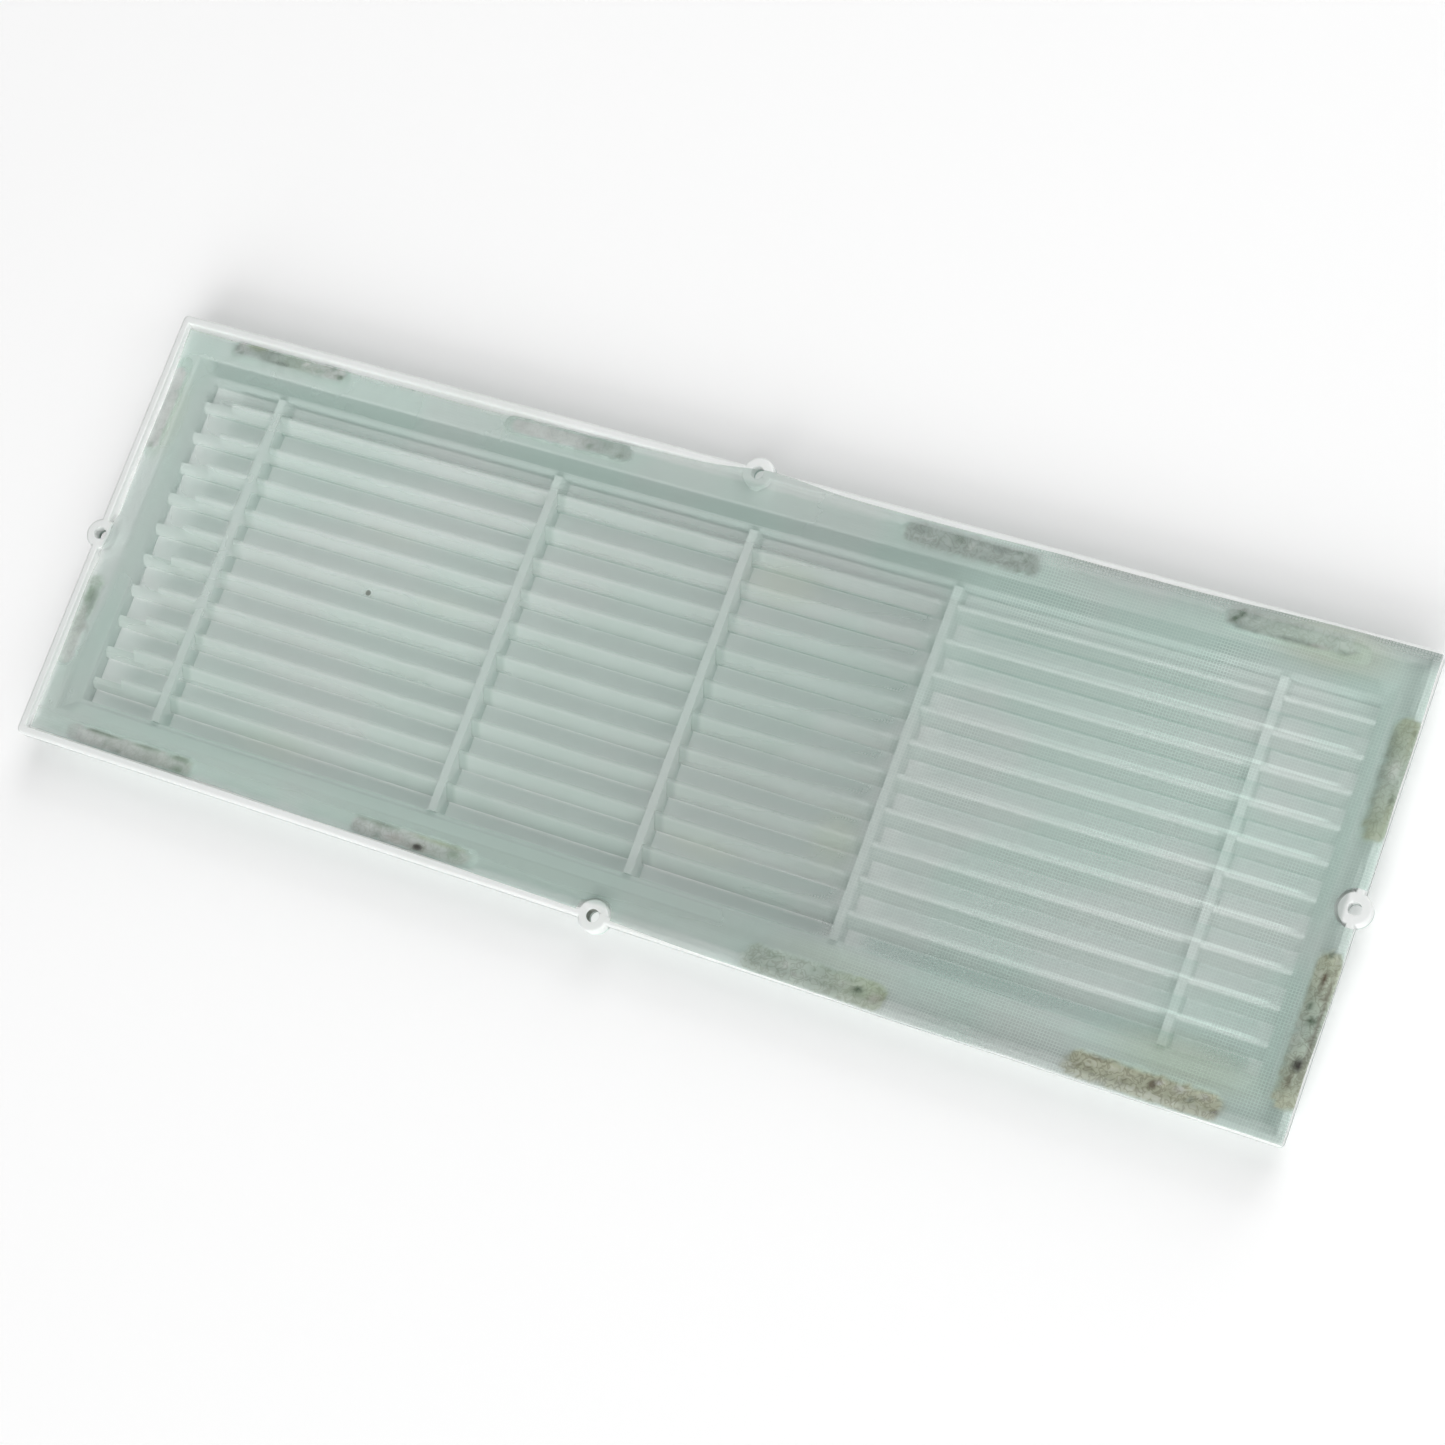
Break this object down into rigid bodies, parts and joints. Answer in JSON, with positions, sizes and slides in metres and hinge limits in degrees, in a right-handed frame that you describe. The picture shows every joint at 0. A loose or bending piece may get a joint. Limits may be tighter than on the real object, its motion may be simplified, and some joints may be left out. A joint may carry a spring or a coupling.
{
  "type": "louvred air diffuser panel",
  "caption": "Flat rectangular diffuser panel of a dryer: a lipped plastic tray with slanted louvre blades, cross ribs, mid-side screw bosses and a glued fine mesh.",
  "frame": {"origin": "middle of the panel, on its rear face", "axes": "+X along the panel, +Y across it, +Z out of the mesh side"},
  "size_m": [0.362, 0.13, 0.012],
  "materials": {
    "tray_plastic": "satin, slightly see-through",
    "blade_plastic": "satin, slightly see-through",
    "rib_plastic": "satin, slightly see-through",
    "woven_mesh": "fine plain weave of clear thread",
    "old_glue": "mottled, dirty"
  },
  "bodies": {
    "root": {"frame": "tray_plastic", "louvre_blade_01": "blade_plastic", "louvre_blade_02": "blade_plastic", "louvre_blade_03": "blade_plastic", "louvre_blade_04": "blade_plastic", "louvre_blade_05": "blade_plastic", "louvre_blade_06": "blade_plastic", "louvre_blade_07": "blade_plastic", "louvre_blade_08": "blade_plastic", "louvre_blade_09": "blade_plastic", "louvre_blade_10": "blade_plastic", "cross_rib_1": "rib_plastic", "cross_rib_2": "rib_plastic", "cross_rib_3": "rib_plastic", "cross_rib_4": "rib_plastic", "cross_rib_5": "rib_plastic", "glue_pad_top_1": "old_glue", "glue_pad_top_2": "old_glue", "glue_pad_top_3": "old_glue", "glue_pad_top_4": "old_glue", "glue_pad_bottom_1": "old_glue", "glue_pad_bottom_2": "old_glue", "glue_pad_bottom_3": "old_glue", "glue_pad_bottom_4": "old_glue", "glue_pad_left_1": "old_glue", "glue_pad_left_2": "old_glue", "glue_pad_right_1": "old_glue", "glue_pad_right_2": "old_glue", "mesh_screen": "woven_mesh"}
  },
  "joints": []
}
